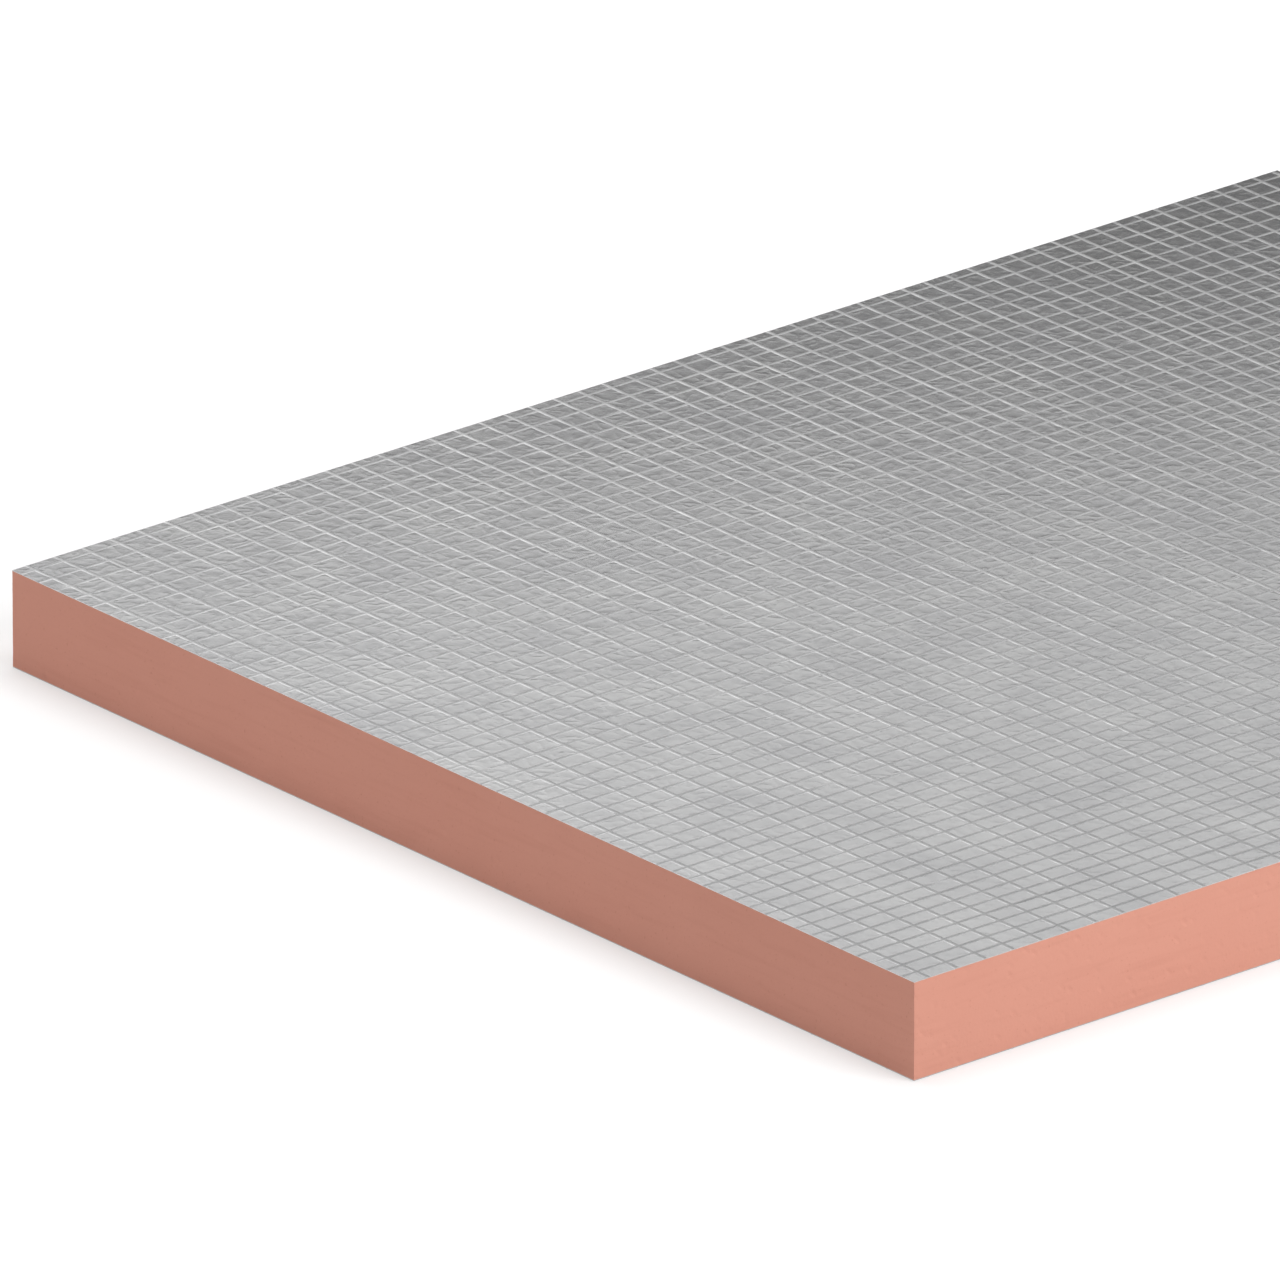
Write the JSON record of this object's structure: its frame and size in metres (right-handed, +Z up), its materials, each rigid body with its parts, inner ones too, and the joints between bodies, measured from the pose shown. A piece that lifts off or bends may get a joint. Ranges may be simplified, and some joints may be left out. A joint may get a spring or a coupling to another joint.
{
  "type": "phenolic duct panel",
  "caption": "Flat rigid foam insulation panel, foil faced on both broad sides over a scrim of yarns, sawn square, for making air ducts.",
  "frame": {"origin": "middle of the underside, on the floor that the panel lies on", "axes": "+X to the right across the width, +Y to the back along the length, +Z up through the thickness"},
  "size_m": [0.287, 0.347, 0.022],
  "materials": {
    "foam": "sawn rigid phenolic foam, matt",
    "foil": "satin aluminium foil laminate",
    "scrim": "satin foil drawn over a glass yarn"
  },
  "bodies": {
    "root": {"foam_core": "foam", "top_facing": "foil", "top_lengthwise_yarns": "scrim", "top_crosswise_yarns": "scrim", "bottom_facing": "foil", "bottom_lengthwise_yarns": "scrim", "bottom_crosswise_yarns": "scrim"}
  },
  "joints": []
}
